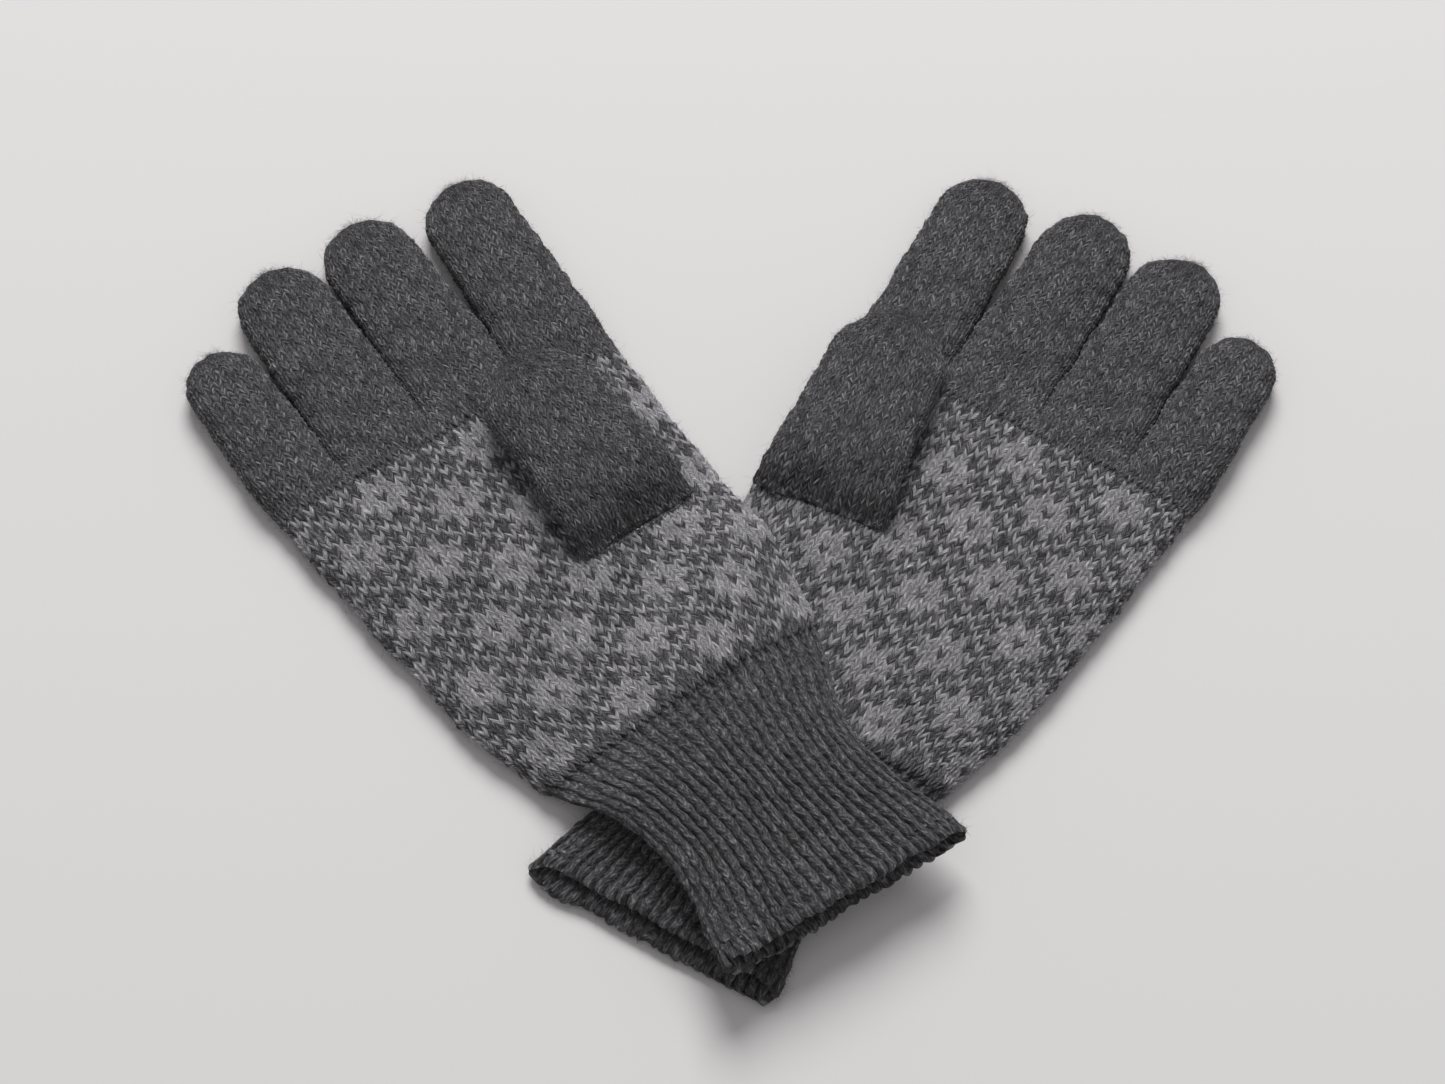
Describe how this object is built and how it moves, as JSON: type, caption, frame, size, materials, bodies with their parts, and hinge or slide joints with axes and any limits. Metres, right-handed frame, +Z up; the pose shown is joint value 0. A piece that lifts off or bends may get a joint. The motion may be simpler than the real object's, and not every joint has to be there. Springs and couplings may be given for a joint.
{
  "type": "knitted gloves",
  "caption": "Pair of knitted wool gloves with ribbed cuffs, two-colour patterned hands and plain fingers and thumbs, lying palm up with the cuffs crossed.",
  "frame": {"origin": "on the table, under the left glove's cuff, where the centre lines of the two gloves cross", "axes": "+Z up from the table, out of the palms; +Y from the cuffs towards the fingers, midway between the two gloves; +X towards the lower, left glove's fingers"},
  "size_m": [0.3154, 0.255, 0.019],
  "materials": {
    "ribbed_wool": "matt charcoal heather wool, one-by-one rib",
    "patterned_wool": "matt two-colour wool, light grey figure on charcoal",
    "plain_wool": "matt charcoal heather wool, plain stitch, with a fine halo of fibres"
  },
  "bodies": {
    "left_glove": {"left_cuff": "ribbed_wool", "left_hem": "ribbed_wool", "left_hand": "patterned_wool", "left_finger_base": "plain_wool", "left_thumb_rim": "plain_wool"},
    "left_index": {"left_index_finger": "plain_wool"},
    "left_middle": {"left_middle_finger": "plain_wool"},
    "left_ring": {"left_ring_finger": "plain_wool"},
    "left_little": {"left_little_finger": "plain_wool"},
    "left_thumb": {"left_thumb": "plain_wool"},
    "right_glove": {"right_cuff": "ribbed_wool", "right_hem": "ribbed_wool", "right_hand": "patterned_wool", "right_finger_base": "plain_wool", "right_thumb_rim": "plain_wool"},
    "right_index": {"right_index_finger": "plain_wool"},
    "right_middle": {"right_middle_finger": "plain_wool"},
    "right_ring": {"right_ring_finger": "plain_wool"},
    "right_little": {"right_little_finger": "plain_wool"},
    "right_thumb": {"right_thumb": "plain_wool"}
  },
  "joints": [
    {"name": "right_glove_lift", "type": "slide", "parent": "left_glove", "child": "right_glove", "axis": [0, 0, 1], "range_m": [0, 0.08]},
    {"name": "left_index_curl", "type": "hinge", "parent": "left_glove", "child": "left_index", "pos_m": [0.04809, 0.14164, 0.0093], "axis": [0.8746, -0.4848, 0], "range_deg": [0, 90]},
    {"name": "left_middle_curl", "type": "hinge", "parent": "left_glove", "child": "left_middle", "pos_m": [0.07385, 0.12737, 0.0093], "axis": [0.8746, -0.4848, 0], "range_deg": [0, 90]},
    {"name": "left_ring_curl", "type": "hinge", "parent": "left_glove", "child": "left_ring", "pos_m": [0.09961, 0.11309, 0.0093], "axis": [0.8746, -0.4848, 0], "range_deg": [0, 90]},
    {"name": "left_little_curl", "type": "hinge", "parent": "left_glove", "child": "left_little", "pos_m": [0.12296, 0.10014, 0.0093], "axis": [0.8746, -0.4848, 0], "range_deg": [0, 90]},
    {"name": "left_thumb_swing", "type": "hinge", "parent": "left_glove", "child": "left_thumb", "pos_m": [0.01891, 0.08156, 0.0096], "axis": [0.91, -0.4147, 0], "range_deg": [0, 90]},
    {"name": "right_index_curl", "type": "hinge", "parent": "right_glove", "child": "right_index", "pos_m": [-0.05756, 0.14233, 0.0093], "axis": [0.848, 0.5299, 0], "range_deg": [0, 90]},
    {"name": "right_middle_curl", "type": "hinge", "parent": "right_glove", "child": "right_middle", "pos_m": [-0.08253, 0.12672, 0.0093], "axis": [0.848, 0.5299, 0], "range_deg": [0, 90]},
    {"name": "right_ring_curl", "type": "hinge", "parent": "right_glove", "child": "right_ring", "pos_m": [-0.10751, 0.11111, 0.0093], "axis": [0.848, 0.5299, 0], "range_deg": [0, 90]},
    {"name": "right_little_curl", "type": "hinge", "parent": "right_glove", "child": "right_little", "pos_m": [-0.13015, 0.09696, 0.0093], "axis": [0.848, 0.5299, 0], "range_deg": [0, 90]},
    {"name": "right_thumb_swing", "type": "hinge", "parent": "right_glove", "child": "right_thumb", "pos_m": [-0.03163, 0.07987, 0.0101], "axis": [0.8039, 0.5948, 0], "range_deg": [0, 90]}
  ]
}
